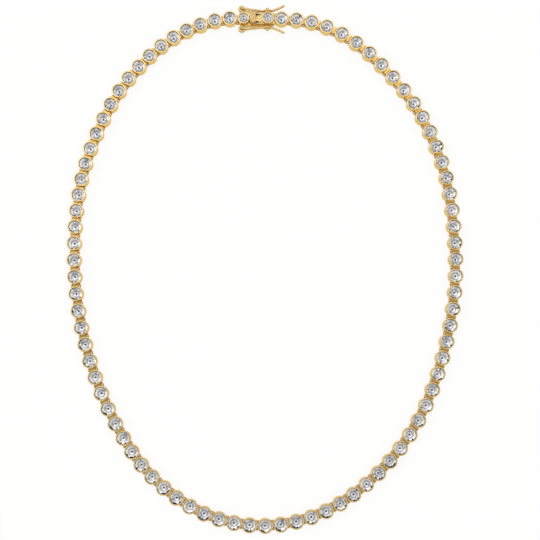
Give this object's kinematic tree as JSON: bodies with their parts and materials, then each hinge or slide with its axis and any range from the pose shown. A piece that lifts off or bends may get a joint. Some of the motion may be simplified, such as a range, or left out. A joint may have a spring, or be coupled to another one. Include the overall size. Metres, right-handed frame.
{
  "type": "riviere necklace",
  "caption": "Closed necklace: a row of round bezel-set brilliants joined by small wire loops, with a box clasp and figure-eight safety catches.",
  "frame": {"origin": "under the middle of the whole necklace, on the surface that it lies on", "axes": "+Y towards the clasp, +X to the right as the picture shows it, +Z out of the tables of the stones"},
  "size_m": [0.1206, 0.1619, 0.0042],
  "materials": {
    "gold": "polished",
    "stone": "cut and polished"
  },
  "bodies": {
    "necklace": {"bezel_links": "gold", "stones": "stone", "clasp_box": "gold", "clasp_box_stone": "stone", "clasp_tongue": "gold", "clasp_tongue_stone": "stone"},
    "outer_catch": {"safety_catch_outer": "gold"},
    "inner_catch": {"safety_catch_inner": "gold"}
  },
  "joints": [
    {"name": "outer_catch_swing", "type": "hinge", "parent": "necklace", "child": "outer_catch", "pos_m": [-0.00748, 0.07956, 0.00136], "axis": [0, 0, 1], "range_deg": [0, 110]},
    {"name": "inner_catch_swing", "type": "hinge", "parent": "necklace", "child": "inner_catch", "pos_m": [-0.00746, 0.07316, 0.00136], "axis": [0, 0, 1], "range_deg": [-110, 0]}
  ]
}
